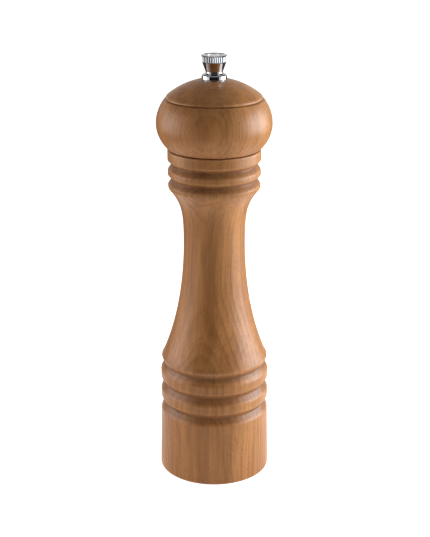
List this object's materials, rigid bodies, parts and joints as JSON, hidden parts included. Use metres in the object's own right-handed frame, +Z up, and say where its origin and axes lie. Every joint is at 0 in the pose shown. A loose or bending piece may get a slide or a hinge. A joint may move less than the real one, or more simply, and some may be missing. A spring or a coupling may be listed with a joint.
{
  "type": "pepper mill",
  "caption": "Turned beech pepper mill with a ringed, waisted body, a domed head that turns on it, a chrome adjusting knob on top and a steel grinder in the foot.",
  "frame": {"origin": "centre of the foot, in the plane that the mill stands on", "axes": "+Z up the mill's axis from the foot to the knob; the retaining bar under the foot lies along X"},
  "size_m": [0.0632, 0.0632, 0.24],
  "materials": {
    "beech": "satin oiled",
    "chrome": "polished",
    "steel": "zinc plated",
    "burr_steel": "hardened, dull grey",
    "nylon": "matt"
  },
  "bodies": {
    "mill": {"mill_body": "beech", "grinder_housing": "steel", "spindle_bush": "nylon", "stator_ring": "burr_steel", "retaining_bar": "steel", "bar_screw_1": "steel", "bar_screw_2": "steel"},
    "turning_seat": {"spring_seat_washer": "steel", "grind_spring": "steel"},
    "spindle_set": {"spindle": "steel", "rotor_burr": "burr_steel", "rotor_washer": "steel", "rotor_clip": "steel"},
    "head_set": {"mill_head": "beech", "drive_plate": "steel", "drive_plate_screw_1": "steel", "drive_plate_screw_2": "steel", "drive_plate_screw_3": "steel"},
    "knob_seat": {"knob_washer": "steel"},
    "knob": {"adjusting_knob": "chrome"}
  },
  "joints": [
    {"name": "head_turn", "type": "hinge", "parent": "mill", "child": "turning_seat", "pos_m": [0, 0, 0.189], "axis": [0, 0, 1], "continuous": true},
    {"name": "grind_adjust", "type": "slide", "parent": "turning_seat", "child": "spindle_set", "axis": [0, 0, 1], "range_m": [-0.0009, 0.0007], "deforming": ["grind_spring"]},
    {"name": "head_lift", "type": "slide", "parent": "turning_seat", "child": "head_set", "axis": [0, 0, 1], "range_m": [0, 0.07]},
    {"name": "knob_lift", "type": "slide", "parent": "head_set", "child": "knob_seat", "axis": [0, 0, 1], "range_m": [0, 0.03]},
    {"name": "knob_turn", "type": "hinge", "parent": "knob_seat", "child": "knob", "pos_m": [0, 0, 0.227], "axis": [0, 0, 1], "range_deg": [-316, 406]}
  ],
  "couplings": [
    {"joint": "knob_turn", "follows": "grind_adjust", "rad_per_m": -7854}
  ]
}
